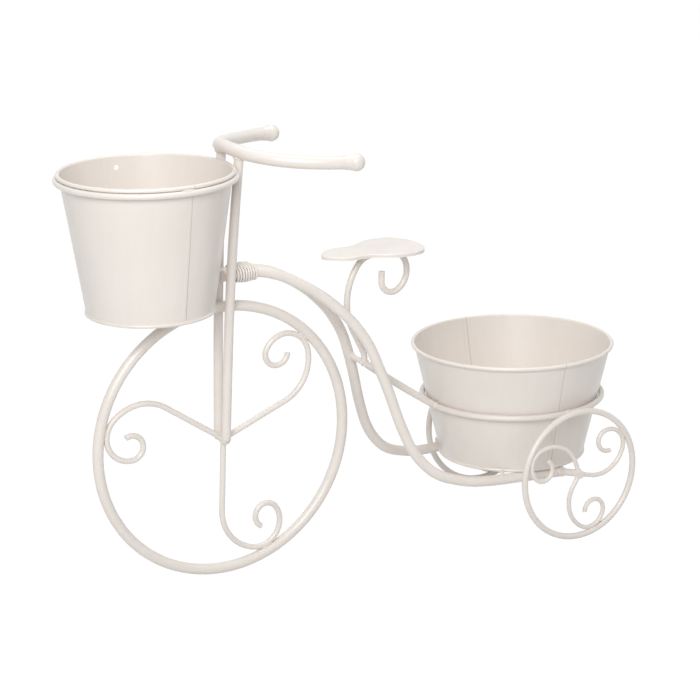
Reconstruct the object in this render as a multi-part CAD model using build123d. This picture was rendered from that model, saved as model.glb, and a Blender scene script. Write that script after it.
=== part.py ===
"""Bicycle plant stand: a painted iron tricycle that carries two round pots.

The frame is welded from tube, rod and wire. One large wheel stands between the fork legs at the
front and two small ones stand at the back, each with three scroll spokes. A ring behind the front
wheel's fork holds the small pot under the handlebar. Two tubes run side by side from the fork,
bound by a wire winding, then part, drop and pass under the large pot, whose ring hangs between
the back wheels. Both pots stand loose and lift up.

Millimetres. The front of the bicycle points to -X and +Z is up. The working origin is the point
where the front wheel touches the floor; the finished pieces are shifted so that the origin is the
middle of the footprint, on the floor.
"""

from build123d import *
from math import acos, atan2, cos, degrees, hypot, pi, radians, sin, sqrt, tan
import os

# Wheels
FRONT_WHEEL_D = 300.0
FRONT_RIM_ROD = 11.5
REAR_WHEEL_D = 150.0
REAR_RIM_ROD = 6.8
WHEELBASE = 380.0
WHEEL_GAP = 4.0
RIGHT_WHEEL_BACK = 14.0
FRONT_SPOKE_ROD = 6.2
REAR_SPOKE_ROD = 5.0
FRONT_HUB_D = 8.0
REAR_HUB_D = 9.0
SPOKE_BITE = 0.4
FRONT_SPOKE_TURNS = (2.4, 116.9, 240.7)
REAR_SPOKE_TURNS = (4.9, 112.1, 236.9)

# Fork legs, from the axle up to the handlebar: share of the height, place behind the axle, half gap
LEG_ROD = 10.0
LEG_FOOT_RISE = 3.5
LEG_STATIONS = (
    (0.0, -1.1, 8.8),
    (0.32, 2.6, 11.6),
    (0.57, 6.7, 13.9),
    (0.80, 11.8, 17.1),
    (1.0, 16.9, 20.5),
)

# Handlebar: place behind the axle, half width, fall below the middle
BAR_TUBE = 13.8
BAR_WALL = 1.5
BAR_STATIONS = (
    (9.7, 0.0, 0.0),
    (12.6, 14.5, 1.6),
    (19.5, 32.0, 4.6),
    (36.0, 55.5, 7.5),
    (60.0, 74.0, 9.9),
    (88.0, 87.0, 11.3),
    (112.5, 92.3, 12.4),
)
END_BALL_D = 18.5
SLEEVE_D = 14.2
SLEEVE_MOUTH_D = 16.5
SLEEVE_LENGTH = 3.0

# Frame tubes: share of the way from head to tail, half gap, share of the fall left
FRAME_TUBE = 11.5
FRAME_WALL = 1.5
HEAD_ABOVE_WHEEL = 28.0
HEAD_HALF_GAP = 6.2
HEAD_PLUG = 4.0
TAIL_Z = 69.0
TAIL_HALF_GAP = 79.0
TUBE_STATIONS = (
    (0.104, 6.2, 1.0),
    (0.174, 9.4, 0.966),
    (0.277, 16.0, 0.878),
    (0.362, 23.5, 0.763),
    (0.416, 29.5, 0.648),
    (0.4455, 33.4, 0.530),
    (0.467, 38.2, 0.436),
    (0.491, 43.3, 0.309),
    (0.5285, 49.0, 0.166),
    (0.5955, 55.2, 0.056),
    (0.697, 62.0, 0.0097),
    (0.773, 66.0, 0.0),
)
CROSSBAR_SHARE = 0.445
CROSSBAR_ROD = 6.5
STRUT_ROD = 8.0
STRUT_SAG = 1.2
AXLE_STUB_ROD = 8.0

# Binder: one wire wound round both tubes just behind the fork
BINDER_WIRE = 2.4
BINDER_PITCH = 3.0
BINDER_TURNS = 8
BINDER_CLEARANCE = 0.4
BINDER_SWELL = 0.9
BINDER_FROM_LEG = 1.7

# Seat and the scrolled wire that carries it
SEAT_ROD = 6.8
SEAT_PLATE = 4.0
SEAT_BITE = 0.2
SEAT_NOSE_AHEAD = 50.5
SEAT_HALF_OUTLINE = (
    (0.0, 0.0),
    (7.5, 13.2),
    (20.0, 22.0),
    (36.0, 22.8),
    (51.0, 24.6),
    (64.0, 33.0),
    (84.0, 38.8),
    (101.0, 36.0),
    (112.0, 25.0),
    (117.5, 0.0),
)
SEAT_TOP_ROUND = 1.4
SEAT_FOOT_HEADING = 91.9
SEAT_RUN = 23.2

# Pots: outer sizes over the beads
POT_SHEET = 1.2
RIM_BEAD = 4.4
FOOT_BEAD = 4.0
FOOT_BEAD_PROUD = 1.5
FLOOR_RISE = 2.0
FRONT_POT_D = 182.7
FRONT_POT_FOOT_D = 134.8
FRONT_POT_H = 147.5
REAR_POT_D = 226.5
REAR_POT_FOOT_D = 165.4
REAR_POT_H = 128.8
REAR_POT_AHEAD = 16.4
SEAM_WIDTH = 5.0
SEAM_PROUD = 0.3
FRONT_SEAM_AT = -85.0
REAR_SEAM_AT = -93.0
HANG_HOLE_D = 5.5
HANG_HOLE_AT = 86.0
HANG_HOLE_BELOW_RIM = 10.6

# Rings that hold the pots
FRONT_RING_WIRE = 6.2
REAR_RING_WIRE = 6.6
REAR_RING_BELOW_RIM = 60.4
RING_CLEARANCE = 0.35
STAY_ROD = 6.0
STAY_BEHIND_POT = 8.0

# Stops on the frame tubes, just ahead of the large pot's foot
STOP_D = 5.0
STOP_HEIGHT = 4.6
STOP_AHEAD = 3.0

# Clearances between loose pieces
SEAT_GAP = 0.3
LEG_GAP = 0.35
POT_LIFT = 5.5
LIFT_GAP = 2.9

# Heights and places that follow
front_axle_z = FRONT_WHEEL_D / 2
rear_axle_z = REAR_WHEEL_D / 2
front_rim_r = (FRONT_WHEEL_D - FRONT_RIM_ROD) / 2
rear_rim_r = (REAR_WHEEL_D - REAR_RIM_ROD) / 2
front_foot_z = FRONT_WHEEL_D + SEAT_GAP
front_bead_z = front_foot_z + FRONT_POT_H - RIM_BEAD / 2
bar_z = front_foot_z + FRONT_POT_H + POT_LIFT + LIFT_GAP + BAR_TUBE / 2
head_z = FRONT_WHEEL_D + HEAD_ABOVE_WHEEL
rear_foot_z = TAIL_Z + FRAME_TUBE / 2 + SEAT_GAP
rear_bead_z = rear_foot_z + REAR_POT_H - RIM_BEAD / 2
rear_pot_x = WHEELBASE - REAR_POT_AHEAD
SIDES = {"left": -1, "right": 1}


def largest(shape):
    """Return the biggest solid of a shape, which drops the crumbs that a cut leaves."""
    return max(shape.solids(), key=lambda solid: solid.volume)


def tube(path, diameter, wall=0.0):
    """Sweep a round section along a path; a wall makes it hollow."""
    section = Circle(diameter / 2)
    if wall:
        section -= Circle(diameter / 2 - wall)
    return sweep(Plane(origin=path @ 0, z_dir=path % 0) * section, path=path)


def rod(start, end, diameter):
    """Make a straight round rod between two points."""
    start, end = Vector(start), Vector(end)
    place = Plane(origin=start, z_dir=end - start)
    return place * Cylinder(diameter / 2, (end - start).length, align=(Align.CENTER, Align.CENTER, Align.MIN))


def eased(points):
    """Join points by straight runs with the largest tangent arcs that each corner allows."""
    points = [Vector(*point) for point in points]
    radii = []
    for before, here, after in zip(points, points[1:], points[2:]):
        arriving, leaving = here - before, after - here
        half_turn = radians(arriving.get_angle(leaving)) / 2
        radii.append(0.45 * min(arriving.length, leaving.length) / tan(half_turn))
    return FilletPolyline(*points, radius=radii)


def bent(start, heading, steps):
    """Lay runs and bends end to end in the XY plane.

    A step is a length, which runs straight on, or a pair of bend radius and angle in degrees,
    where a positive angle turns left.
    """
    edges = []
    point, heading = Vector(*start), float(heading)
    for step in steps:
        ahead = Vector(cos(radians(heading)), sin(radians(heading)))
        if isinstance(step, tuple):
            radius, angle = step
            edge = JernArc(start=point, tangent=ahead, radius=radius, arc_size=angle)
            heading += angle
        else:
            edge = Line(point, point + ahead * step)
        edges.append(edge)
        point = edge @ 1
    return Wire([edge.edge() for edge in edges])


def ring(radius, diameter, place):
    """Make a closed ring of round wire at a place; it lies flat unless the place turns it."""
    return place * Torus(radius, diameter / 2)


def mirrored(piece):
    """Return a piece's image on the other side of the bicycle."""
    return mirror(piece, about=Plane.XZ)


class Pot:
    """The sizes of one tapered round pot and the solids made from them."""

    def __init__(self, rim_d, foot_d, height, centre_x, foot_z, seam_at):
        self.centre_x = centre_x
        self.foot_z = foot_z
        self.seam_at = seam_at
        self.bead_z = foot_z + height - RIM_BEAD / 2
        self.bead_r = rim_d / 2 - RIM_BEAD / 2
        self.rim_r = rim_d / 2
        self.foot_r = foot_d / 2
        self.low_z = foot_z + FOOT_BEAD / 2
        self.low_r = self.foot_r - FOOT_BEAD_PROUD
        self.high_r = self.bead_r - RIM_BEAD / 2 + POT_SHEET
        self.slope = (self.high_r - self.low_r) / (self.bead_z - self.low_z)

    def wall_r(self, z):
        """Return the wall's outer radius at a height."""
        return self.low_r + self.slope * (z - self.low_z)

    def place(self, z):
        """Return the point of the pot's axis at a height, as a location."""
        return Pos(self.centre_x, 0, z)

    def ring_r(self, z, wire):
        """Return the radius of a ring of wire that clears the wall and its seams at a height."""
        return self.wall_r(z) + (wire / 2 + SEAM_PROUD + RING_CLEARANCE) * hypot(1, self.slope)

    def base(self):
        """Make the flat floor with the bead that it is rolled into."""
        floor = Pos(0, 0, self.foot_z + FLOOR_RISE) * Cylinder(
            self.foot_r - FOOT_BEAD / 2, POT_SHEET, align=(Align.CENTER, Align.CENTER, Align.MIN)
        )
        bead = Pos(0, 0, self.low_z) * Torus(self.foot_r - FOOT_BEAD / 2, FOOT_BEAD / 2)
        return Pos(self.centre_x, 0, 0) * (floor + bead)

    def shell(self, inner, outer):
        """Return the half section of a skin from inner to outer offset of the wall's outside."""
        return Plane.XZ * make_face(
            Polyline(
                (self.low_r + inner, self.low_z),
                (self.low_r + outer, self.low_z),
                (self.high_r + outer, self.bead_z),
                (self.high_r + inner, self.bead_z),
                close=True,
            )
        )

    def wall(self):
        """Make the tapered wall with its rolled rim and its two folded seams."""
        wall = revolve(self.shell(-POT_SHEET, 0.0), Axis.Z)
        arc = degrees(SEAM_WIDTH / self.high_r)
        for turn in (self.seam_at, self.seam_at + 180.0):
            seam = revolve(self.shell(-POT_SHEET - SEAM_PROUD, SEAM_PROUD), Axis.Z, revolution_arc=arc)
            wall += Rot(0, 0, turn - arc / 2) * seam
        wall += Pos(0, 0, self.bead_z) * Torus(self.bead_r, RIM_BEAD / 2)
        return largest(Pos(self.centre_x, 0, 0) * wall - self.base())


def between(stations, share):
    """Return the pair of values that a list of stations gives at a share of the way along it."""
    for low, high in zip(stations, stations[1:]):
        if share <= high[0]:
            part = (share - low[0]) / (high[0] - low[0])
            return low[1] + part * (high[1] - low[1]), low[2] + part * (high[2] - low[2])
    return stations[-1][1:]


def spoke(steps, reach, rim_inner_r, diameter):
    """Make one scroll spoke in the XY plane, sized so that its crown bites the rim's inside."""
    grow = (rim_inner_r + SPOKE_BITE - diameter / 2) / reach
    sized = [(step[0] * grow, step[1]) if isinstance(step, tuple) else step * grow for step in steps[1:]]
    return tube(bent((0, 0), steps[0], sized), diameter)


def reach_of(steps):
    """Return how far from the hub a scroll's centre line gets."""
    path = bent((0, 0), steps[0], steps[1:])
    return max((path @ (n / 400)).length for n in range(401))


def wheel(name, centre, rim_r, rim_rod, spoke_rod, steps, turns, hub):
    """Make a wheel's rim and scroll spokes, cut to fit each other and the hub."""
    upright = Pos(*centre) * Plane.XZ.location
    rim = ring(rim_r, rim_rod, upright)
    pieces = {f"{name}_rim": rim}
    scroll = spoke(steps, reach_of(steps), rim_r - rim_rod / 2, spoke_rod)
    for number, turn in enumerate(turns, start=1):
        piece = upright * (Rot(0, 0, turn) * scroll)
        pieces[f"{name}_spoke_{number}"] = largest(piece - hub - rim)
    return pieces


def binder_route(x, half_gap, end_r, centre_z):
    """Lay one wire round two side by side tubes, turn after turn along X.

    Each turn is two half circles, each of two quarter turns, joined by straights over and under
    the tubes. The wire advances along X at a steady rate, and its turns swell a little from both
    ends to the middle. Each span is a pair of tangent arcs that meet its end points and
    directions, except that both ends of the wire finish with a straight.
    """
    straight = 2 * half_gap
    quarter = pi * end_r / 2
    lap = 2 * straight + 4 * quarter
    climb = BINDER_PITCH / lap
    swollen = BINDER_TURNS * lap - straight

    def station(distance):
        """Return the point and direction of the wire at a distance along it."""
        lap_at = distance % lap
        sections = (
            (straight, Vector(0, -half_gap, 0), -90.0, Vector(0, 1, 0)),
            (2 * quarter, Vector(0, half_gap, 0), -90.0, None),
            (straight, Vector(0, half_gap, 0), 90.0, Vector(0, -1, 0)),
            (2 * quarter, Vector(0, -half_gap, 0), 90.0, None),
        )
        for length, origin, turn, along in sections:
            if lap_at <= length + 1e-9:
                break
            lap_at -= length
        phase = 2 * pi * min(max(distance - straight, 0) / swollen, 1)
        swell = BINDER_SWELL * (1 - cos(phase)) / 2
        growth = BINDER_SWELL * sin(phase) * pi / swollen
        angle = radians(turn)
        if along:
            origin = origin + along * lap_at
            ahead = along
        else:
            angle += lap_at / end_r
            ahead = Vector(0, -sin(angle), cos(angle)) * (1 + swell / end_r)
        outward = Vector(0, cos(angle), sin(angle))
        point = origin + outward * (end_r + swell) + Vector(x + climb * distance, 0, centre_z)
        return point, (ahead + outward * growth + Vector(climb, 0, 0)).normalized()

    edges = []
    points = []
    distance = 0.0
    spans = (straight, quarter, quarter, straight, quarter, quarter)
    steps = len(spans) * BINDER_TURNS
    for step in range(steps + 1):
        span = spans[step % len(spans)]
        start, ahead = station(distance)
        end, onward = station(distance + span)
        if step in (0, steps):
            edges.append(Edge.make_line(start, end))
        else:
            gap, both = end - start, ahead + onward
            square, cross = both.dot(both) - 4, -2 * gap.dot(both)
            root = sqrt(cross * cross - 4 * square * gap.dot(gap))
            handle = min(r for r in ((-cross - root) / (2 * square), (-cross + root) / (2 * square)) if r > 0)
            middle = (start + ahead * handle + end - onward * handle) / 2
            edges.append(Edge.make_tangent_arc(start, ahead, middle))
            edges.append(Edge.make_tangent_arc(middle, edges[-1] % 1, end))
        points += [(distance + span * n / 6, station(distance + span * n / 6)[0]) for n in range(6)]
        distance += span
    gap = min(
        (here - there).length
        for at, here in points
        for further, there in points
        if further - at > lap / 2
    )
    print(f"binder: least gap between turns {gap - BINDER_WIRE:.2f} mm, {len(edges)} edges")
    return Wire(edges)


def make_parts():
    """Build every piece in the working frame and return them by node name."""
    parts = {}

    # Front end: legs, handlebar, pot ring and wheel
    leg_rise = bar_z - BAR_STATIONS[1][2] - front_axle_z
    leg_points = [(x, y, front_axle_z + share * leg_rise) for share, x, y in LEG_STATIONS]
    foot = leg_points[0]
    leg_points[0] = (foot[0], foot[1], foot[2] + LEG_FOOT_RISE)
    leg_path = eased(leg_points)
    leg = tube(leg_path, LEG_ROD)
    leg += Pos(*leg_points[0]) * Sphere(LEG_ROD / 2)
    half_bar = [(x, y, bar_z - fall) for x, y, fall in BAR_STATIONS]
    bar_path = eased([(x, -y, z) for x, y, z in half_bar[:0:-1]] + half_bar)
    handlebar = tube(bar_path, BAR_TUBE, BAR_WALL)
    leg = largest(leg - handlebar)
    legs = {"left": mirrored(leg), "right": leg}

    tip, before_tip = Vector(*half_bar[-1]), Vector(*half_bar[-2])
    outward = (tip - before_tip).normalized()
    sleeve_start = tip - outward * (END_BALL_D / 2 + SLEEVE_LENGTH)
    along_bar = (Align.CENTER, Align.CENTER, Align.MIN)
    sleeve = Cone(SLEEVE_D / 2, SLEEVE_MOUTH_D / 2, SLEEVE_LENGTH + END_BALL_D / 4, align=along_bar)
    cap = Plane(origin=sleeve_start, z_dir=outward) * sleeve + Pos(tip) * Sphere(END_BALL_D / 2)
    cap = largest(cap - handlebar)

    bead_share = (front_bead_z - front_axle_z) / leg_rise
    leg_x, leg_y = between(LEG_STATIONS, bead_share)
    clear_r = FRONT_POT_D / 2 + LEG_GAP + LEG_ROD / 2
    front_pot_x = leg_x - sqrt(clear_r**2 - leg_y**2)
    front_pot = Pot(FRONT_POT_D, FRONT_POT_FOOT_D, FRONT_POT_H, front_pot_x, front_foot_z, FRONT_SEAM_AT)
    touch = (RIM_BEAD + FRONT_RING_WIRE) / 2 + SEAT_GAP
    front_ring_r = front_pot.ring_r(front_bead_z - touch, FRONT_RING_WIRE)
    front_ring_z = front_bead_z - sqrt(touch**2 - (front_ring_r - front_pot.bead_r) ** 2)
    front_ring = ring(front_ring_r, FRONT_RING_WIRE, front_pot.place(front_ring_z))
    parts["front_ring"] = largest(front_ring - legs["left"] - legs["right"])
    parts["handlebar"] = handlebar
    for side, piece in legs.items():
        parts[f"fork_leg_{side}"] = piece
    parts["handlebar_end_right"] = cap
    parts["handlebar_end_left"] = mirrored(cap)

    front_centre = (0.0, 0.0, front_axle_z)
    hub_reach = foot[1]
    front_hub = rod((0, -hub_reach, front_axle_z), (0, hub_reach, front_axle_z), FRONT_HUB_D)
    front_hub = largest(front_hub - legs["left"] - legs["right"])
    parts["front_hub"] = front_hub
    front_scroll = (-95.1, 80.7, (47.8, 79.0), (26.9, 139.7), (13.5, 203.3))
    parts |= wheel(
        "front_wheel", front_centre, front_rim_r, FRONT_RIM_ROD, FRONT_SPOKE_ROD, front_scroll,
        FRONT_SPOKE_TURNS, front_hub,
    )

    # Frame tubes, from between the legs to under the large pot
    head_x, _ = between(LEG_STATIONS, (head_z - front_axle_z) / leg_rise)
    fall = head_z - TAIL_Z
    run = WHEELBASE - head_x
    stations = [(head_x + share * run, y, TAIL_Z + left * fall) for share, y, left in TUBE_STATIONS]
    head = (head_x - LEG_ROD / 2, HEAD_HALF_GAP, head_z)
    tail = (WHEELBASE, TAIL_HALF_GAP, TAIL_Z)
    frame_tube = tube(eased([head, *stations, tail]), FRAME_TUBE, FRAME_WALL)
    plug_end = (head[0] + HEAD_PLUG, HEAD_HALF_GAP, head_z)
    frame_tube += rod(head, plug_end, FRAME_TUBE - FRAME_WALL)
    frame_tubes = {"right": largest(frame_tube - legs["right"])}
    frame_tubes["left"] = mirrored(frame_tubes["right"])
    for side, piece in frame_tubes.items():
        parts[f"frame_tube_{side}"] = piece

    binder_r = FRAME_TUBE / 2 + BINDER_CLEARANCE + BINDER_WIRE / 2
    binder_x = head_x + LEG_ROD / 2 + BINDER_FROM_LEG
    parts["binder"] = tube(binder_route(binder_x, HEAD_HALF_GAP, binder_r, head_z), BINDER_WIRE)

    # Crossbar, seat wire, seat and strut
    cross_y, fall_left = between(TUBE_STATIONS, CROSSBAR_SHARE)
    cross_x = head_x + CROSSBAR_SHARE * run
    cross_z = TAIL_Z + fall_left * fall
    crossbar = rod((cross_x, -cross_y, cross_z), (cross_x, cross_y, cross_z), CROSSBAR_ROD)
    for piece in frame_tubes.values():
        crossbar = crossbar - piece
    crossbar = largest(crossbar)
    parts["crossbar"] = crossbar

    seat_steps = (
        7.5,
        (13.6, 24.2),
        28.0,
        (68.7, -62.5),
        (23.8, 62.5 - 24.2 - SEAT_FOOT_HEADING),
        SEAT_RUN,
        (17.6, -52.8),
        (24.3, -96.7),
        (13.1, -122.5),
        11.0,
    )
    seat_path = Plane.XZ * bent((cross_x, cross_z), SEAT_FOOT_HEADING, seat_steps)
    seat_wire = largest(tube(seat_path, SEAT_ROD) - crossbar)
    parts["seat_wire"] = seat_wire
    top_z = max((seat_path @ (n / 200)).Z for n in range(201))
    seat_z = top_z + SEAT_ROD / 2 - SEAT_BITE
    nose_x = cross_x - SEAT_NOSE_AHEAD
    outline = [(nose_x + x, y) for x, y in SEAT_HALF_OUTLINE]
    outline += [(x, -y) for x, y in outline[-2:0:-1]]
    seat = Pos(0, 0, seat_z) * extrude(make_face(Spline(*outline, periodic=True)), SEAT_PLATE)
    seat = fillet(seat.faces().sort_by(Axis.Z)[-1].edges(), SEAT_TOP_ROUND)
    parts["seat"] = largest(seat - seat_wire)

    rear_pot = Pot(REAR_POT_D, REAR_POT_FOOT_D, REAR_POT_H, rear_pot_x, rear_foot_z, REAR_SEAM_AT)
    rear_ring_z = rear_foot_z + REAR_POT_H - REAR_RING_BELOW_RIM
    rear_ring_r = rear_pot.ring_r(rear_ring_z, REAR_RING_WIRE)
    rear_ring = ring(rear_ring_r, REAR_RING_WIRE, rear_pot.place(rear_ring_z))
    parts["rear_ring"] = rear_ring
    ring_front = Vector(rear_pot_x - rear_ring_r, 0, rear_ring_z)
    cross = Vector(cross_x, 0, cross_z)
    along = (ring_front - cross).normalized()
    sag = Vector(-abs(along.Z), 0, -abs(along.X)) * STRUT_SAG
    strut = tube(ThreePointArc(cross, (cross + ring_front) / 2 + sag, ring_front), STRUT_ROD)
    parts["strut"] = largest(strut - crossbar - seat_wire - rear_ring)

    # Back wheels with their axle stubs, stays and stops
    rear_scroll = (-126.4, 16.3, (35.2, 90.6), (19.5, 119.7), (12.4, 181.8))
    half_track = rear_ring_r + (REAR_RING_WIRE + REAR_RIM_ROD) / 2 + WHEEL_GAP
    wheel_xs = {"left": WHEELBASE, "right": WHEELBASE + RIGHT_WHEEL_BACK}
    for side, sign in SIDES.items():
        wheel_x = wheel_xs[side]
        centre = (wheel_x, sign * half_track, rear_axle_z)
        hub_face = centre[1] - sign * REAR_RIM_ROD / 2
        hub_back = centre[1] + sign * REAR_RIM_ROD / 2
        hub = rod((wheel_x, hub_face, rear_axle_z), (wheel_x, hub_back, rear_axle_z), REAR_HUB_D)
        parts[f"rear_hub_{side}"] = hub
        pieces = wheel(
            f"rear_wheel_{side}", centre, rear_rim_r, REAR_RIM_ROD, REAR_SPOKE_ROD, rear_scroll,
            REAR_SPOKE_TURNS, hub,
        )
        parts |= pieces
        rim = pieces[f"rear_wheel_{side}_rim"]
        stub_x = WHEELBASE - AXLE_STUB_ROD / 2
        stub = rod((stub_x, sign * TAIL_HALF_GAP, TAIL_Z), (wheel_x, hub_face, rear_axle_z), AXLE_STUB_ROD)
        bore_from = (stations[-1][0], sign * stations[-1][1], TAIL_Z)
        bore_fill = rod(bore_from, (WHEELBASE, sign * TAIL_HALF_GAP, TAIL_Z), FRAME_TUBE)
        parts[f"axle_stub_{side}"] = largest(stub - bore_fill - frame_tubes[side] - hub)
        stay_x = rear_pot_x + STAY_BEHIND_POT
        stay_y = sqrt(rear_ring_r**2 - STAY_BEHIND_POT**2)
        rim_top = rear_axle_z + sqrt(rear_rim_r**2 - (wheel_x - stay_x) ** 2)
        stay = rod((stay_x, sign * stay_y, rear_ring_z), (stay_x, centre[1], rim_top), STAY_ROD)
        parts[f"wheel_stay_{side}"] = largest(stay - rear_ring - rim)

    # Each stop stands on its tube where the tube passes a set distance ahead of the pot's foot
    low, high = Vector(*stations[-1]), Vector(*tail)
    along = (high - low).normalized()
    to_low = Vector(low.X - rear_pot_x, low.Y)
    stop_r = REAR_POT_FOOT_D / 2 + STOP_AHEAD + STOP_D / 2
    half = to_low.dot(along)
    stop_at = low + along * (-half - sqrt(half**2 + stop_r**2 - to_low.dot(to_low)))
    stop_top = TAIL_Z + FRAME_TUBE / 2 + STOP_HEIGHT
    stop_low = stop_top - STOP_HEIGHT - FRAME_WALL / 2
    stop = rod((stop_at.X, stop_at.Y, stop_low), (stop_at.X, stop_at.Y, stop_top), STOP_D)
    parts["pot_stop_right"] = largest(stop - frame_tubes["right"])
    parts["pot_stop_left"] = mirrored(parts["pot_stop_right"])

    # Pots
    front_wall = front_pot.wall()
    hole_z = front_bead_z - HANG_HOLE_BELOW_RIM
    bore = Rot(0, 0, HANG_HOLE_AT) * rod((0, 0, hole_z), (FRONT_POT_D, 0, hole_z), HANG_HOLE_D)
    parts["front_pot_wall"] = largest(front_wall - Pos(front_pot_x, 0, 0) * bore)
    parts["front_pot_base"] = front_pot.base()
    parts["rear_pot_wall"] = rear_pot.wall()
    parts["rear_pot_base"] = rear_pot.base()

    middle_x = (front_pot_x - front_ring_r - FRONT_RING_WIRE / 2 + rear_pot_x + REAR_POT_D / 2) / 2
    return {name: Pos(-middle_x, 0, 0) * piece for name, piece in parts.items()}


os.makedirs("parts", exist_ok=True)
for name, piece in make_parts().items():
    export_step(largest(piece), f"parts/{name}.step")
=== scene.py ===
"""Dresses the bicycle plant stand: paint, weld beads and pots, a camera and a plain studio.

The stand is a welded tricycle frame in cream paint that carries two round sheet-metal pots. The
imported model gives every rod, ring and tube. This script adds what a maker's hand leaves on them,
such as weld beads and folded seams, and gives each surface its finish.
All sizes are in metres unless a name says otherwise.
"""

import logging
from dataclasses import dataclass
from enum import Enum
from math import cos, pi, radians, sin, tau

import bpy
import numpy as np
from mathutils import Matrix, Vector
from mathutils.bvhtree import BVHTree


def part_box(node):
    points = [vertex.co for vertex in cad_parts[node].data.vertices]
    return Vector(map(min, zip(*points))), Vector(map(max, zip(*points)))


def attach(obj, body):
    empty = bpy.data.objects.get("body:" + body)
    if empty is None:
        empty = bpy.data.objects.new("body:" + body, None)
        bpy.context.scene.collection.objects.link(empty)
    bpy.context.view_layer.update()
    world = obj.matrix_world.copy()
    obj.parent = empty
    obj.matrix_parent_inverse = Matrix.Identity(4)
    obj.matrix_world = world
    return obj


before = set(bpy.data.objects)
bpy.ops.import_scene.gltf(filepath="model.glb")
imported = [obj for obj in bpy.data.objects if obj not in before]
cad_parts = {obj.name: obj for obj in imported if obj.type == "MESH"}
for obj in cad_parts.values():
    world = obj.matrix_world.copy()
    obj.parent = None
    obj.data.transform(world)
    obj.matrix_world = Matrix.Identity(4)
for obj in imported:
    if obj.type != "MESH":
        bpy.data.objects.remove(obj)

log = logging.getLogger("plant_stand")
MM = 0.001
SIDES = ("left", "right")
# Each pot's seam, in degrees round from the back of the stand
FRONT_SEAM_AT = -85.0
REAR_SEAM_AT = -93.0
surfaces: dict[str, BVHTree] = {}


class Body(Enum):
    """The rigid bodies that a piece can ride on."""

    FRAME = "frame"
    FRONT_POT = "front_pot"
    REAR_POT = "rear_pot"


class Slot(Enum):
    """The record's material slots."""

    FRAME = "frame_paint"
    POT = "pot_paint"


# Shader building


class Socket:
    """A shader socket that Python operators can calculate with."""

    def __init__(self, graph: "Graph", link: bpy.types.NodeSocket) -> None:
        """Wrap an output socket of a graph."""
        self.graph = graph
        self.link = link

    def _math(self, operation: str, *values: "Socket | float") -> "Socket":
        """Add one Math node."""
        return self.graph.node("ShaderNodeMath", {"operation": operation}, dict(enumerate(values)))

    def __add__(self, other: "Socket | float") -> "Socket":
        """Add a value."""
        return self._math("ADD", self, other)

    def __sub__(self, other: "Socket | float") -> "Socket":
        """Take a value away."""
        return self._math("SUBTRACT", self, other)

    def __rsub__(self, other: "Socket | float") -> "Socket":
        """Take this socket away from a value."""
        return self._math("SUBTRACT", other, self)

    def __mul__(self, other: "Socket | float") -> "Socket":
        """Multiply by a value."""
        return self._math("MULTIPLY", self, other)

    __radd__ = __add__
    __rmul__ = __mul__

    def smooth(self, low: float, high: float) -> "Socket":
        """Rise smoothly from 0 at low to 1 at high.

        Args:
            low: Where the rise starts.
            high: Where the rise ends; it may be less than low.

        Returns:
            The eased value.
        """
        settings = {"interpolation_type": "SMOOTHSTEP"}
        inputs = {"Value": self, "From Min": low, "From Max": high}
        return self.graph.node("ShaderNodeMapRange", settings, inputs)

    def size(self) -> "Socket":
        """Drop the sign."""
        return self._math("ABSOLUTE", self)


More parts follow.
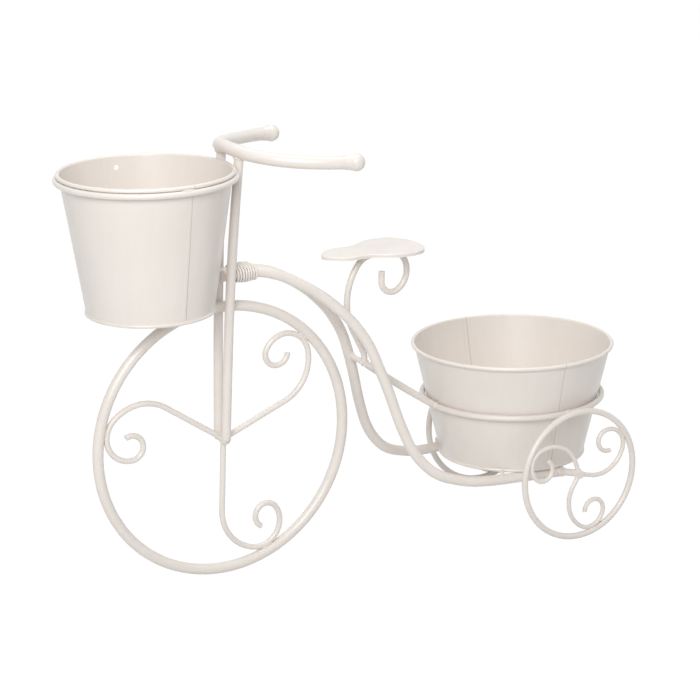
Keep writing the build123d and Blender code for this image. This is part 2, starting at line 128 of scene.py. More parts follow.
class Graph:
    """One material's node tree."""

    def __init__(self, name: str) -> None:
        """Start an empty material with a Principled shader.

        Args:
            name: The material's name.
        """
        self.material = bpy.data.materials.new(name)
        self.material.use_nodes = True
        self.tree = self.material.node_tree
        self.tree.nodes.clear()
        self.output = self.tree.nodes.new("ShaderNodeOutputMaterial")
        self.shader = self.tree.nodes.new("ShaderNodeBsdfPrincipled")
        self.tree.links.new(self.shader.outputs[0], self.output.inputs[0])

    def node(self, kind: str, settings: dict, inputs: dict, out: int | str = 0) -> Socket:
        """Add any node.

        Args:
            kind: The node's type name.
            settings: The node's own settings, set before its sockets.
            inputs: Values or sockets for its inputs, by name or number.
            out: Which output to return.

        Returns:
            The chosen output.
        """
        node = self.tree.nodes.new(kind)
        for key, value in settings.items():
            setattr(node, key, value)
        for key, value in inputs.items():
            if isinstance(value, Socket):
                self.tree.links.new(value.link, node.inputs[key])
            else:
                node.inputs[key].default_value = value
        return Socket(self, node.outputs[out])

    def position(self) -> Socket:
        """Return the object coordinates, in metres."""
        return self.node("ShaderNodeTexCoord", {}, {}, "Object")

    def split(self, vector: Socket) -> tuple[Socket, Socket, Socket]:
        """Take a vector apart.

        Args:
            vector: The vector.

        Returns:
            Its three parts.
        """
        first = self.node("ShaderNodeSeparateXYZ", {}, {"Vector": vector})
        outputs = first.link.node.outputs
        return first, Socket(self, outputs[1]), Socket(self, outputs[2])

    def noise(self, vector: Socket, scale: float, detail: float = 2.0, roughness: float = 0.5) -> Socket:
        """Return soft noise around one half, with scale cells to the metre."""
        sockets = {"Vector": vector, "Scale": scale, "Detail": detail, "Roughness": roughness}
        return self.node("ShaderNodeTexNoise", {}, sockets)

    def stretched(self, vector: Socket, scale: tuple[float, float, float]) -> Socket:
        """Scale a vector unevenly."""
        return self.node("ShaderNodeVectorMath", {"operation": "MULTIPLY"}, {0: vector, 1: scale})

    def blend(self, factor: Socket, low: Socket | tuple, high: tuple) -> Socket:
        """Mix two colours by a factor from 0 to 1.

        Args:
            factor: How much of the second colour shows.
            low: The first colour, fixed or varying.
            high: The second colour, fixed.

        Returns:
            The mixed colour.
        """
        node = self.tree.nodes.new("ShaderNodeMix")
        node.data_type = "RGBA"
        self.tree.links.new(factor.link, node.inputs["Factor"])
        first, second = [socket for socket in node.inputs if socket.type == "RGBA"]
        if isinstance(low, Socket):
            self.tree.links.new(low.link, first)
        else:
            first.default_value = (*low, 1.0)
        second.default_value = (*high, 1.0)
        return Socket(self, next(socket for socket in node.outputs if socket.type == "RGBA"))

    def bump(self, height: Socket, distance: float, strength: float = 1.0) -> Socket:
        """Turn a height from 0 to 1 into a normal, with distance metres from low to high."""
        sockets = {"Height": height, "Distance": distance, "Strength": strength}
        return self.node("ShaderNodeBump", {}, sockets)

    def finish(self, fixed: dict[str, object], varying: dict[str, Socket]) -> bpy.types.Material:
        """Set the shader's fixed values and link what changes over the surface.

        Args:
            fixed: Values that are the same all over, by the shader's socket.
            varying: What changes over the surface, by the shader's socket.

        Returns:
            The finished material.
        """
        for key, value in fixed.items():
            self.shader.inputs[key].default_value = value
        for key, value in varying.items():
            self.tree.links.new(value.link, self.shader.inputs[key])
        return self.material


@dataclass(frozen=True)
class Paint:
    """Cream paint over iron, sprayed and baked.

    Attributes:
        colour: Its main colour.
        shade: The colour of its faint cloudy patches.
        peel: How deep its orange peel is.
        cloud_cells: Cloudy patches to the metre.
        peel_cells: Dimples of the orange peel to the metre.
        speck_cells: Fine specks to the metre.
    """

    name: str
    colour: tuple[float, float, float] = (0.82, 0.766, 0.716)
    shade: tuple[float, float, float] = (0.765, 0.706, 0.645)
    roughness: float = 0.36
    coat: float = 0.3
    coat_roughness: float = 0.2
    refraction: float = 1.5
    peel: float = 0.03 * MM
    cloud_cells: float = 38.0
    peel_cells: float = 420.0
    speck_cells: float = 900.0

    def fixed(self) -> dict[str, object]:
        """Return what is the same all over the paint."""
        return {"Coat Roughness": self.coat_roughness, "Coat Weight": self.coat, "IOR": self.refraction}

    def material(self) -> bpy.types.Material:
        """Make rod paint: faint cloudy colour, orange peel and a satin coat."""
        graph = Graph(self.name)
        place = graph.position()
        cloud = graph.noise(place, self.cloud_cells, 3.0).smooth(0.35, 0.75)
        speck = graph.noise(place, self.speck_cells, 2.0)
        height = graph.noise(place, self.peel_cells, 2.0) * 0.6 + speck * 0.4
        varying = {
            "Base Color": graph.blend(cloud * 0.5, self.colour, self.shade),
            "Roughness": self.roughness + (cloud - 0.5) * 0.10 + (speck - 0.5) * 0.08,
            "Normal": graph.bump(height, self.peel),
        }
        return graph.finish(self.fixed(), varying)


@dataclass(frozen=True)
class PotPaint(Paint):
    """The same paint on rolled sheet: drawn streaks up the wall and thin lines of painted shade by each
    seam.

    Attributes:
        streak_cells: Streaks to the metre across the wall, and up it.
        dent_cells: Shallow dents to the metre.
        centre_x: Where the pot's axis is.
        seam_at: Where its seam is, in degrees round from the back of the stand.
        two_seams: Whether a second seam shows opposite the first.
        seam_shadow_at: How far each line of painted shade lies to each side of its seam's middle.
        seam_shadow_deep: How much of the painted shade shows along the seam's open edge.
        seam_shadow_faint: The same along its folded edge.
    """

    coat_roughness: float = 0.18
    cloud_cells: float = 16.0
    streak_cells: tuple[float, float, float] = (150.0, 150.0, 4.0)
    dent_cells: float = 30.0
    centre_x: float = 0.0
    seam_at: float = -90.0
    two_seams: bool = True
    seam_shadow_at: float = 2.5 * MM
    seam_shadow_width: float = 0.55 * MM
    # Painted shade: a dark colour laid in thin lines along the seams' edges, where shade falls in their
    # creases.
    seam_shadow_colour: tuple[float, float, float] = (0.34, 0.30, 0.26)
    seam_shadow_deep: float = 0.8
    seam_shadow_faint: float = 0.12

    def seam_shadow(self, graph: Graph, place: Socket) -> Socket:
        """Return how much painted shade shows by the seam, or by it and its opposite.

        The distance across a seam is measured from the upright plane through the pot's axis and
        the seam's middle, so one distance serves the seam and its opposite. Where only one seam
        shows, the half of the pot away from it is left plain.

        Args:
            graph: The material's nodes.
            place: The object coordinates.

        Returns:
            The share of the painted shade's dark colour, from 0 to 1.
        """
        turn = radians(self.seam_at)
        along_x, along_y, _ = graph.split(place)
        across = along_y * cos(turn) - (along_x - self.centre_x) * sin(turn)
        # Painted shade along the seam's open edge and, fainter, along its folded edge.
        open_edge = 1.0 - (across - self.seam_shadow_at).size().smooth(0.0, self.seam_shadow_width)
        fold = 1.0 - (across + self.seam_shadow_at).size().smooth(0.0, self.seam_shadow_width)
        both = open_edge * self.seam_shadow_deep + fold * self.seam_shadow_faint
        if self.two_seams:
            return both
        outward = (along_x - self.centre_x) * cos(turn) + along_y * sin(turn)
        return both * outward.smooth(-MM, MM)

    def material(self) -> bpy.types.Material:
        """Make sheet paint: streaks that run up the wall over the rod paint's clouds."""
        graph = Graph(self.name)
        place = graph.position()
        streaks = graph.noise(graph.stretched(place, self.streak_cells), 1.0, 3.0).smooth(0.3, 0.7)
        cloud = graph.noise(place, self.cloud_cells, 2.0).smooth(0.35, 0.7)
        speck = graph.noise(place, self.speck_cells, 2.0)
        painted = graph.blend(streaks * 0.2 + cloud * 0.25, self.colour, self.shade)
        dents = graph.noise(place, self.dent_cells, 1.0)
        height = dents * 6.0 + graph.noise(place, self.peel_cells, 2.0) * 0.5 + speck * 0.3
        varying = {
            # The seams' edges get thin lines of painted shade in a dark colour.
            "Base Color": graph.blend(self.seam_shadow(graph, place), painted, self.seam_shadow_colour),
            "Roughness": self.roughness + (streaks - 0.5) * 0.14 + (speck - 0.5) * 0.05,
            "Normal": graph.bump(height, self.peel),
        }
        return graph.finish(self.fixed(), varying)


# Surfaces


def points_of(name: str) -> np.ndarray:
    """Read a CAD node's vertices.

    Args:
        name: The node's name.

    Returns:
        Its vertices in the shared frame, one row each.
    """
    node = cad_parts[name]
    flat = np.empty(len(node.data.vertices) * 3)
    node.data.vertices.foreach_get("co", flat)
    turned = np.array(node.matrix_world)
    return flat.reshape(-1, 3) @ turned[:3, :3].T + turned[:3, 3]


def surface_of(name: str) -> BVHTree:
    """Read a CAD node's surface, once for each node.

    Args:
        name: The node's name.

    Returns:
        Its surface in the shared frame, ready to be asked for distances.
    """
    if name not in surfaces:
        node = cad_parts[name]
        faces = [tuple(face.vertices) for face in node.data.polygons]
        surfaces[name] = BVHTree.FromPolygons(points_of(name).tolist(), faces)
    return surfaces[name]


def skin(rows: np.ndarray, closed: bool) -> tuple[np.ndarray, list]:
    """Join rows of points into a surface.

    Args:
        rows: Points as rows by points round a row by 3; each row is a closed loop.
        closed: Whether the last row joins the first; if not, both ends are capped.

    Returns:
        The vertices and the faces.
    """
    count, around = rows.shape[:2]
    row = np.arange(count if closed else count - 1)[:, None] * around
    here = np.arange(around)[None, :]
    there = (here + 1) % around
    above = (row + around) % (count * around)
    quads = np.stack([row + here, row + there, above + there, above + here], axis=-1).reshape(-1, 4)
    faces = quads.tolist()
    if not closed:
        faces.append(list(range(around))[::-1])
        faces.append(list(range((count - 1) * around, count * around)))
    return rows.reshape(-1, 3), faces


def add_piece(
    name: str, rows: np.ndarray, closed: bool, finish: bpy.types.Material, body: Body
) -> None:
    """Make a smooth piece from rows of points, give it its finish and let it ride a body.

    Args:
        name: The piece's name.
        rows: Points as rows by points round a row by 3, in metres.
        closed: Whether the rows join end to end.
        finish: Its material.
        body: The rigid body that carries it.
    """
    mesh = bpy.data.meshes.new(name)
    vertices, faces = skin(rows, closed)
    mesh.from_pydata(vertices, [], faces)
    mesh.polygons.foreach_set("use_smooth", np.ones(len(mesh.polygons), dtype=bool))
    mesh.materials.append(finish)
    piece = bpy.data.objects.new(name, mesh)
    bpy.context.scene.collection.objects.link(piece)
    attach(piece, body.value)
    log.info("made %s with %d faces", name, len(faces))


# Welding


@dataclass(frozen=True)
class WeldBead:
    """A rippled bead along the line where one piece is cut to fit another.

    Attributes:
        piece: The CAD node that was cut to fit.
        onto: The CAD node that it meets.
        radius: The bead's radius.
        ripple: How much the radius swells with each ripple, as a share of it.
        sway: How much it swells twice round the joint, as a share of it.
        sectors: Sectors that the contact is sorted into, to find its outline.
        fewest: The fewest touching vertices that make a contact line.
        harmonics: Waves that are kept of the outline.
        touch: How near a vertex is to the other surface where it touches it.
        pot_gap: Room that the bead leaves to a pot.
        thinnest: The least radius beside a pot.
    """

    piece: str
    onto: str
    radius: float
    ripple: float = 0.13
    sway: float = 0.1
    ripple_pitch: float = 1.9 * MM
    sectors: int = 28
    fewest: int = 8
    stations: int = 72
    around: int = 12
    harmonics: int = 7
    touch: float = 0.16 * MM
    pot_gap: float = 0.22 * MM
    thinnest: float = 0.08 * MM

    def touching(self) -> np.ndarray:
        """Find where the two pieces touch.

        Returns:
            The piece's vertices that lie on the other piece's surface.
        """
        points, other = points_of(self.piece), points_of(self.onto)
        inside = (points > other.min(axis=0) - self.touch) & (points < other.max(axis=0) + self.touch)
        near = points[inside.all(axis=1)]
        surface = surface_of(self.onto)
        gaps = np.array([surface.find_nearest(Vector(point))[3] for point in near])
        return near[gaps < self.touch] if len(near) else near

    def line(self, points: np.ndarray) -> np.ndarray:
        """Return a smooth closed line round the outside of the contact.

        The points are seen flat on, scaled to a round patch and sorted by angle. The outermost of
        each sector is kept, the loop is divided evenly by length and its finest waves are dropped.

        Args:
            points: The vertices that touch.

        Returns:
            Evenly spaced points along the line.
        """
        middle = points.mean(axis=0)
        axes = np.linalg.svd(points - middle, full_matrices=False)[2]
        flat = (points - middle) @ axes[:2].T
        flat = flat / np.maximum(flat.std(axis=0), 1e-6)
        turn = (np.arctan2(flat[:, 1], flat[:, 0]) + pi) / tau
        sector = (turn * self.sectors).astype(int) % self.sectors
        order = np.lexsort((np.hypot(flat[:, 0], flat[:, 1]), sector))
        outermost = np.append(np.diff(sector[order]) != 0, True)
        loop = points[order][outermost]
        loop = np.vstack([loop, loop[:1]])
        travel = np.append(0.0, np.cumsum(np.linalg.norm(np.diff(loop, axis=0), axis=1)))
        even = np.linspace(0.0, travel[-1], self.stations, endpoint=False)
        spaced = np.stack([np.interp(even, travel, loop[:, axis]) for axis in range(3)], axis=1)
        waves = np.fft.rfft(spaced, axis=0)
        waves[self.harmonics :] = 0.0
        return np.fft.irfft(waves, n=self.stations, axis=0)

    def room(self, line: np.ndarray) -> np.ndarray:
        """Return how far each point of a line is from the nearest pot."""
        pots = [surface_of(name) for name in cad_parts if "_pot_" in name]
        return np.array([min(pot.find_nearest(Vector(point))[3] for pot in pots) for point in line])

    def build(self, finish: bpy.types.Material) -> None:
        """Lay the bead: a tube round the line whose radius swells and sinks like laid weld metal.

        With P the line, N its outward side, B across it and s the way round from 0 to 2 pi, a point
        of the bead is P + r (1 + a sin(ks) + b sin(2s + 1)) (N cos t + B sin t). The radius shrinks
        where a pot is near.

        Args:
            finish: The paint over the weld.
        """
        points = self.touching()
        if len(points) < self.fewest:
            log.info("no contact line between %s and %s", self.piece, self.onto)
            return
        line = self.line(points)
        ahead = np.roll(line, -1, axis=0) - np.roll(line, 1, axis=0)
        length = np.linalg.norm(ahead, axis=1).sum() / 2
        ahead /= np.linalg.norm(ahead, axis=1, keepdims=True)
        outward = line - line.mean(axis=0)
        outward -= (outward * ahead).sum(axis=1, keepdims=True) * ahead
        outward /= np.linalg.norm(outward, axis=1, keepdims=True)
        across = np.cross(ahead, outward)
        waves = max(round(length / self.ripple_pitch), 3)
        way = np.linspace(0.0, tau, self.stations, endpoint=False)
        radius = self.radius * (1 + self.ripple * np.sin(waves * way) + self.sway * np.sin(2 * way + 1.0))
        room = np.maximum(self.room(line) - self.pot_gap, self.thinnest)
        radius = np.minimum(radius, room)[:, None, None]
        turn = np.linspace(0.0, tau, self.around, endpoint=False)[None, :, None]
        rows = line[:, None] + radius * (np.cos(turn) * outward[:, None] + np.sin(turn) * across[:, None])
        add_piece(f"weld_{self.piece}_to_{self.onto}", rows, True, finish, Body.FRAME)


# Sub-assemblies


@dataclass
class SubAssembly:
    """A group of pieces that are made, welded and painted together."""

    finish: bpy.types.Material
    bead: float = 1.1 * MM

    def nodes(self) -> list[str]:
        """Return the CAD nodes that belong to the group."""
        return []

    def joints(self) -> list[tuple[str, str]]:
        """Return the welded joints, each as the piece that was cut and the piece it meets."""
        return []

    def paint(self) -> None:
        """Give the group's CAD nodes their finish."""
        for name in self.nodes():
            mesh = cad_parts[name].data
            mesh.materials.clear()
            mesh.materials.append(self.finish)
            log.info("painted %s", name)

    def build(self) -> None:
        """Paint the pieces and weld their joints."""
        self.paint()
        for piece, onto in self.joints():
            WeldBead(piece, onto, self.bead).build(self.finish)


@dataclass
class Wheel(SubAssembly):
    """One wheel: a rim, three scroll spokes and what they meet in the middle."""

    name: str = "front_wheel"
    hub: str = "front_hub"
    spokes: tuple[int, ...] = (1, 2, 3)

    def nodes(self) -> list[str]:
        """Return the rim, the spokes and the hub."""
        return [f"{self.name}_rim", self.hub, *(f"{self.name}_spoke_{number}" for number in self.spokes)]

    def joints(self) -> list[tuple[str, str]]:
        """Return each spoke's crown on the rim and its foot on the hub."""
        feet = [f"{self.name}_spoke_{number}" for number in self.spokes]
        return [(foot, f"{self.name}_rim") for foot in feet] + [(foot, self.hub) for foot in feet]


@dataclass
class Fork(SubAssembly):
    """The two legs from the front hub to the handlebar."""

    def nodes(self) -> list[str]:
        """Return both legs."""
        return [f"fork_leg_{side}" for side in SIDES]

    def joints(self) -> list[tuple[str, str]]:
        """Return the legs under the handlebar and the hub pin between the legs."""
        pairs = []
        for leg in self.nodes():
            pairs += [(leg, "handlebar"), ("front_hub", leg)]
        return pairs


@dataclass
class Handlebar(SubAssembly):
    """The bent tube with its two flared sleeves and round ends."""

    def nodes(self) -> list[str]:
        """Return the bar and its ends."""
        return ["handlebar", *(f"handlebar_end_{side}" for side in SIDES)]

    def joints(self) -> list[tuple[str, str]]:
        """Return the mouth of each sleeve on the bar."""
        return [(f"handlebar_end_{side}", "handlebar") for side in SIDES]


@dataclass
class Backbone(SubAssembly):
    """The two frame tubes with what ties them: binder, crossbar, strut, axle stubs and stops."""

    def nodes(self) -> list[str]:
        """Return the tubes and their ties."""
        pairs = ("frame_tube", "axle_stub", "pot_stop")
        return ["binder", "crossbar", "strut", *(f"{pair}_{side}" for pair in pairs for side in SIDES)]

    def joints(self) -> list[tuple[str, str]]:
        """Return the crossbar's ends, the strut's foot and each axle stub's two ends."""
        pairs = [("strut", "crossbar")]
        for side in SIDES:
            pairs += [
                ("crossbar", f"frame_tube_{side}"),
                (f"axle_stub_{side}", f"frame_tube_{side}"),
                (f"axle_stub_{side}", f"rear_hub_{side}"),
            ]
        return pairs


@dataclass
class SeatUnit(SubAssembly):
    """The saddle plate and the scrolled wire that carries it."""

    def nodes(self) -> list[str]:
        """Return the plate and its wire."""
        return ["seat", "seat_wire"]

    def joints(self) -> list[tuple[str, str]]:
        """Return the wire's foot on the crossbar and the plate on the wire."""
        return [("seat_wire", "crossbar"), ("seat", "seat_wire")]


@dataclass
class PotHolder(SubAssembly):
    """The two rings, the stays that hold the back one and the tack on the front one.

    Attributes:
        tack_at: Where the tack is, in degrees round from the back of the stand.
        tack_out: How far it lies out from the wire's middle, as a share of the wire's radius.
        tack_up: How far it lies above the wire's top, as the same share.
        tack_end: How near each tip its first and last rows are, as a share of its half length.
    """

    tack_half_length: float = 8.0 * MM
    tack_half_width: float = 1.25 * MM
    tack_half_height: float = 1.0 * MM
    tack_at: float = -88.0
    tack_out: float = 0.22
    tack_up: float = 0.02
    tack_end: float = 0.985

    def nodes(self) -> list[str]:
        """Return the rings and the stays."""
        return ["front_ring", "rear_ring", *(f"wheel_stay_{side}" for side in SIDES)]

    def joints(self) -> list[tuple[str, str]]:
        """Return the front ring on the legs, the strut on the back ring and both stays' ends."""
        pairs = [("strut", "rear_ring")]
        for side in SIDES:
            pairs += [
                ("front_ring", f"fork_leg_{side}"),
                (f"wheel_stay_{side}", "rear_ring"),
                (f"wheel_stay_{side}", f"rear_wheel_{side}_rim"),
            ]
        return pairs

    def tack(self) -> None:
        """Add the low puddle of weld on the outside of the front ring, by the small pot's bead.

        The puddle is an ellipsoid bent along the ring, its length rippled: at way u from -1 to 1,
        the half width and height are those of an ellipse times (1 + 0.1 sin(9u)).
        """
        low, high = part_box("front_ring")
        wire = (high[2] - low[2]) / 2
        centre_x = (low[0] + high[0]) / 2
        ring_r = (high[1] - low[1]) / 2 - wire
        middle_r = ring_r + self.tack_out * wire
        middle_z = high[2] + self.tack_up * wire
        way = np.linspace(-self.tack_end, self.tack_end, 40)[:, None]
        turn = np.linspace(0.0, tau, 16, endpoint=False)[None, :]
        swell = np.sqrt(1 - way**2) * (1 + 0.1 * np.sin(9 * way))
        angle = radians(self.tack_at) + way * self.tack_half_length / ring_r
        out = middle_r + self.tack_half_width * swell * np.cos(turn)
        rise = middle_z + self.tack_half_height * swell * np.sin(turn)
        rows = np.stack([centre_x + out * np.cos(angle), out * np.sin(angle), rise], axis=-1)
        add_piece("front_ring_tack", rows, False, self.finish, Body.FRAME)

    def build(self) -> None:
        """Paint and weld the holders and add the tack."""
        super().build()
        self.tack()


@dataclass
class Pot(SubAssembly):
    """One round pot: its wall and floor, and the folded seams up its wall.

    Attributes:
        floor_finish: The plain paint for its floor.
        seam_at: Where its seam is, in degrees round from the back of the stand.
        two_seams: Whether a second seam shows opposite the first.
        seam_half: Half the width of a seam's strip.
        seam_thick: Half the strip's thickness.
        seam_proud: How far the strip stands out of the wall.
        seam_end: How far above the foot it starts.
        seam_ease: The share of its length over which each end thins out.
        rim_bead: The height of the rolled rim, where it stops.
        probe_turn: How far from the seam the wall is measured, in degrees.
        probe_from: How far from the axis a ray from outside starts.
    """

    floor_finish: bpy.types.Material | None = None
    body: Body = Body.FRONT_POT
    seam_at: float = -90.0
    two_seams: bool = True
    seam_half: float = 1.9 * MM
    seam_thick: float = 0.3 * MM
    seam_proud: float = 0.42 * MM
    seam_end: float = 1.2 * MM
    seam_ease: float = 0.04
    rim_bead: float = 4.0 * MM
    probe_turn: float = 60.0
    probe_from: float = 0.3

    def nodes(self) -> list[str]:
        """Return the wall and the floor."""
        return [f"{self.body.value}_wall", f"{self.body.value}_base"]

    def paint(self) -> None:
        """Give the wall the paint with painted shade by its seams and the floor the plain one."""
        super().paint()
        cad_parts[self.nodes()[1]].data.materials[0] = self.floor_finish

    def wall_radius(self, centre_x: float, height: float, outside: bool) -> float:
        """Measure the wall with a level ray away from the seams.

        Args:
            centre_x: Where the pot's axis is.
            height: The ray's height.
            outside: Whether the ray meets the wall's outside.

        Returns:
            The wall's radius there.
        """
        turn = radians(self.seam_at + self.probe_turn)
        away = Vector((cos(turn), sin(turn), 0.0))
        axis = Vector((centre_x, 0.0, height))
        start = axis + away * self.probe_from if outside else axis
        hit = surface_of(self.nodes()[0]).ray_cast(start, -away if outside else away)[0]
        return (hit - axis).length

    def seam(self, name: str, turn: float, outside: bool) -> None:
        """Add one folded seam: a flat strip with rounded edges that leans with the wall.

        Round the strip's section, at angle t, the way across is w |cos t|^0.4 and the height is
        h |sin t|^0.7, each with its own sign. The strip runs from the foot's bead to the rim's, and
        h falls away towards both of its ends.

        Args:
            name: The strip's name.
            turn: Where it is, in degrees round from the back of the stand.
            outside: Whether it lies on the wall's outside.
        """
        low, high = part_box(self.nodes()[0])
        centre_x = (low[0] + high[0]) / 2
        bottom, top = low[2] + self.seam_end, high[2] - self.rim_bead
        probes = (low[2] + (high[2] - low[2]) / 4, (low[2] + 3 * high[2]) / 4)
        radii = [self.wall_radius(centre_x, height, outside) for height in probes]
        slope = (radii[1] - radii[0]) / (probes[1] - probes[0])
        ends = [radii[0] + slope * (height - probes[0]) for height in (bottom, top)]
        proud = (self.seam_proud - self.seam_thick) * (1 if outside else -1)
        share = np.linspace(0.0, 1.0, 48)[:, None]
        section = np.linspace(0.0, tau, 20, endpoint=False)[None, :]
        across = self.seam_half * np.sign(np.cos(section)) * np.abs(np.cos(section)) ** 0.4
        eased = np.clip(np.minimum(share, 1.0 - share) / self.seam_ease, 0.05, 1.0)
        height = self.seam_thick * eased * np.sign(np.sin(section)) * np.abs(np.sin(section)) ** 0.7
        out = ends[0] + (ends[1] - ends[0]) * share + proud + height
        rise = bottom + (top - bottom) * share + 0 * section
        along, side = (cos(radians(turn)), sin(radians(turn))), (-sin(radians(turn)), cos(radians(turn)))
        rows = np.stack(
            [centre_x + out * along[0] + across * side[0], out * along[1] + across * side[1], rise], axis=-1
        )
        add_piece(name, rows, False, self.finish, self.body)

    def build(self) -> None:
        """Paint the pot and fold its seams, outside and inside."""
        super().build()
        places = {"near": self.seam_at}
        if self.two_seams:
            places["far"] = self.seam_at + 180.0
        for place, turn in places.items():
            for skin_side, outside in (("outer", True), ("inner", False)):
                self.seam(f"{self.body.value}_seam_{place}_{skin_side}", turn, outside)


# Studio


@dataclass(frozen=True)
class Lamp:
    """One square soft lamp that faces the stand."""

    name: str
    place: tuple[float, float, float]
    size: float
    power: float
    aim: tuple[float, float, float] = (0.0, 0.0, 0.2)

    def build(self) -> None:
        """Hang the lamp and turn it to its aim."""
        data = bpy.data.lights.new(self.name, "AREA")
        data.size = self.size
        data.energy = self.power
        lamp = bpy.data.objects.new(self.name, data)
        lamp.location = self.place
        facing = Vector(self.aim) - Vector(self.place)
        lamp.rotation_euler = facing.to_track_quat("-Z", "Y").to_euler()
        bpy.context.scene.collection.objects.link(lamp)


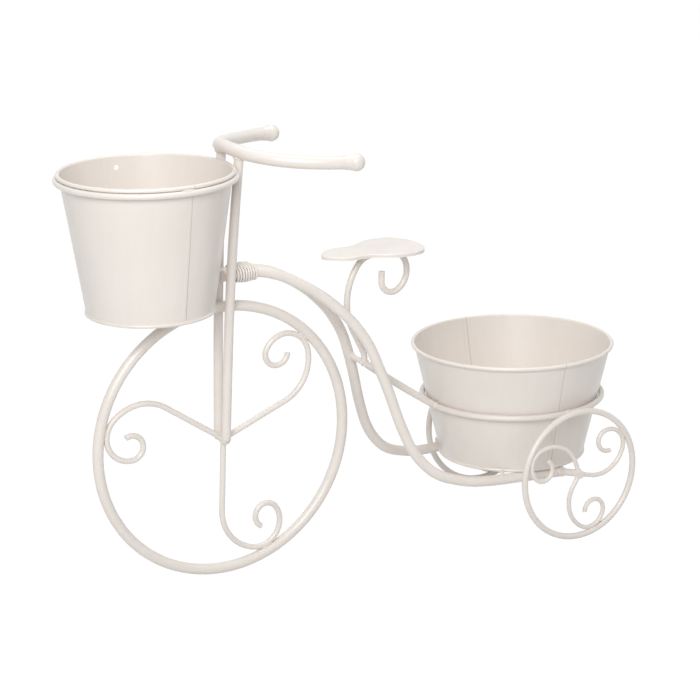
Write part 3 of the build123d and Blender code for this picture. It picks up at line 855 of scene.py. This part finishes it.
@dataclass(frozen=True)
class Studio:
    """The camera at the photograph's place, a pale floor and soft light.

    Attributes:
        azimuth: The camera's turn round the stand from its left side, in degrees.
        elevation: How far the camera is up from level, in degrees.
        roll: How far it leans, in degrees.
        focal_px: Its focal length in the picture's pixels.
        floor_white: How much of the floor that the camera sees is plain white.
        floor_glow: How bright that white is.
        world_strength: The light from all round.
        far_limit: How far the camera sees.
    """

    azimuth: float = -29.54
    elevation: float = 16.05
    roll: float = -0.65
    distance: float = 2.65565
    focal_px: float = 2464.4
    image_px: float = 700.0
    target: tuple[float, float, float] = (0.00323, 0.0, 0.22382)
    sensor_mm: float = 36.0
    floor_half: float = 6.0
    floor_colour: tuple[float, float, float] = (0.68, 0.68, 0.68)
    floor_roughness: float = 0.9
    floor_white: float = 0.9
    floor_glow: float = 1.08
    world_strength: float = 0.38
    far_limit: float = 50.0
    lamps: tuple[Lamp, ...] = (
        Lamp("key_lamp", (-1.35, -1.65, 1.5), 1.2, 35.5),
        Lamp("top_lamp", (0.4, 0.3, 2.6), 1.8, 26.0),
        Lamp("side_lamp", (2.2, -1.2, 1.0), 1.2, 1.5),
    )

    def camera(self) -> None:
        """Place the camera by its angles round the target."""
        turn, rise = radians(self.azimuth), radians(self.elevation)
        back = Vector((sin(turn) * cos(rise), -cos(turn) * cos(rise), sin(rise)))
        right = (-back).cross(Vector((0, 0, 1))).normalized()
        up = right.cross(-back)
        lean = radians(self.roll)
        right, up = cos(lean) * right + sin(lean) * up, cos(lean) * up - sin(lean) * right
        data = bpy.data.cameras.new("camera")
        data.sensor_width = self.sensor_mm
        data.lens = self.focal_px / self.image_px * self.sensor_mm
        data.clip_end = self.far_limit
        camera = bpy.data.objects.new("camera", data)
        camera.matrix_world = Matrix.Translation(Vector(self.target) + back * self.distance) @ Matrix(
            (right, up, back)
        ).transposed().to_4x4()
        bpy.context.scene.collection.objects.link(camera)
        bpy.context.scene.camera = camera

    def seen_white(
        self, tree: bpy.types.NodeTree, shader: bpy.types.NodeSocket, share: float, strength: float
    ) -> bpy.types.Node:
        """Mix a shader with plain white for what the camera and reflections see.

        Args:
            tree: The node tree to add to.
            shader: What light falls on.
            share: How much of what the camera sees is plain white.
            strength: How bright that white is.

        Returns:
            The mixing node.
        """
        path = tree.nodes.new("ShaderNodeLightPath")
        either = tree.nodes.new("ShaderNodeMath")
        either.operation = "MAXIMUM"
        tree.links.new(path.outputs["Is Camera Ray"], either.inputs[0])
        tree.links.new(path.outputs["Is Glossy Ray"], either.inputs[1])
        amount = tree.nodes.new("ShaderNodeMath")
        amount.operation = "MULTIPLY"
        amount.inputs[1].default_value = share
        tree.links.new(either.outputs[0], amount.inputs[0])
        white = tree.nodes.new("ShaderNodeEmission")
        white.inputs["Strength"].default_value = strength
        mix = tree.nodes.new("ShaderNodeMixShader")
        tree.links.new(amount.outputs[0], mix.inputs[0])
        tree.links.new(shader, mix.inputs[1])
        tree.links.new(white.outputs[0], mix.inputs[2])
        return mix

    def floor(self) -> None:
        """Lay a wide pale floor that still takes the stand's shadow."""
        half = self.floor_half
        corners = [(-half, -half, 0), (half, -half, 0), (half, half, 0), (-half, half, 0)]
        mesh = bpy.data.meshes.new("floor")
        mesh.from_pydata(corners, [], [(0, 1, 2, 3)])
        floor = bpy.data.objects.new("floor", mesh)
        bpy.context.scene.collection.objects.link(floor)
        material = bpy.data.materials.new("floor_white")
        material.use_nodes = True
        tree = material.node_tree
        shader = tree.nodes["Principled BSDF"]
        shader.inputs["Base Color"].default_value = (*self.floor_colour, 1.0)
        shader.inputs["Roughness"].default_value = self.floor_roughness
        mix = self.seen_white(tree, shader.outputs[0], self.floor_white, self.floor_glow)
        tree.links.new(mix.outputs[0], tree.nodes["Material Output"].inputs[0])
        mesh.materials.append(material)

    def world(self) -> None:
        """Light the stand evenly from all round, on a white background."""
        world = bpy.data.worlds.new("studio")
        world.use_nodes = True
        bpy.context.scene.world = world
        light = world.node_tree.nodes["Background"]
        light.inputs["Color"].default_value = (1.0, 1.0, 1.0, 1.0)
        light.inputs["Strength"].default_value = self.world_strength
        mix = self.seen_white(world.node_tree, light.outputs[0], 1.0, 1.0)
        world.node_tree.links.new(mix.outputs[0], world.node_tree.nodes["World Output"].inputs[0])

    def build(self) -> None:
        """Make the camera, floor, world and lamps."""
        bpy.context.scene.view_settings.view_transform = "Standard"
        self.camera()
        self.floor()
        self.world()
        for lamp in self.lamps:
            lamp.build()


def make_pot(body: Body, floor_finish: bpy.types.Material, seam_at: float, two_seams: bool) -> Pot:
    """Return one pot with paint that lays its painted shade at the pot's own seams.

    Args:
        body: The rigid body that the pot is.
        floor_finish: The plain paint for its floor.
        seam_at: Where its seam is, in degrees round from the back of the stand.
        two_seams: Whether a second seam shows opposite the first.

    Returns:
        The pot, ready to build.
    """
    low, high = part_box(f"{body.value}_wall")
    finish = PotPaint(
        f"{body.value}_paint", centre_x=(low[0] + high[0]) / 2, seam_at=seam_at, two_seams=two_seams
    ).material()
    return Pot(finish, floor_finish=floor_finish, body=body, seam_at=seam_at, two_seams=two_seams)


def main() -> None:
    """Build the stand's dressing in order."""
    logging.basicConfig(level=logging.INFO, format="%(name)s: %(message)s")
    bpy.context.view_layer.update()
    paint = Paint("rod_paint").material()
    assemblies = [
        Wheel(paint, bead=1.3 * MM),
        Wheel(paint, bead=0.95 * MM, name="rear_wheel_left", hub="rear_hub_left"),
        Wheel(paint, bead=0.95 * MM, name="rear_wheel_right", hub="rear_hub_right"),
        Fork(paint, bead=1.5 * MM),
        Handlebar(paint, bead=0.4 * MM),
        Backbone(paint, bead=1.3 * MM),
        SeatUnit(paint, bead=1.3 * MM),
        PotHolder(paint, bead=1.2 * MM),
        make_pot(Body.FRONT_POT, paint, FRONT_SEAM_AT, two_seams=False),
        make_pot(Body.REAR_POT, paint, REAR_SEAM_AT, two_seams=True),
    ]
    for assembly in assemblies:
        assembly.build()
    Studio().build()


if __name__ == "__main__":
    main()
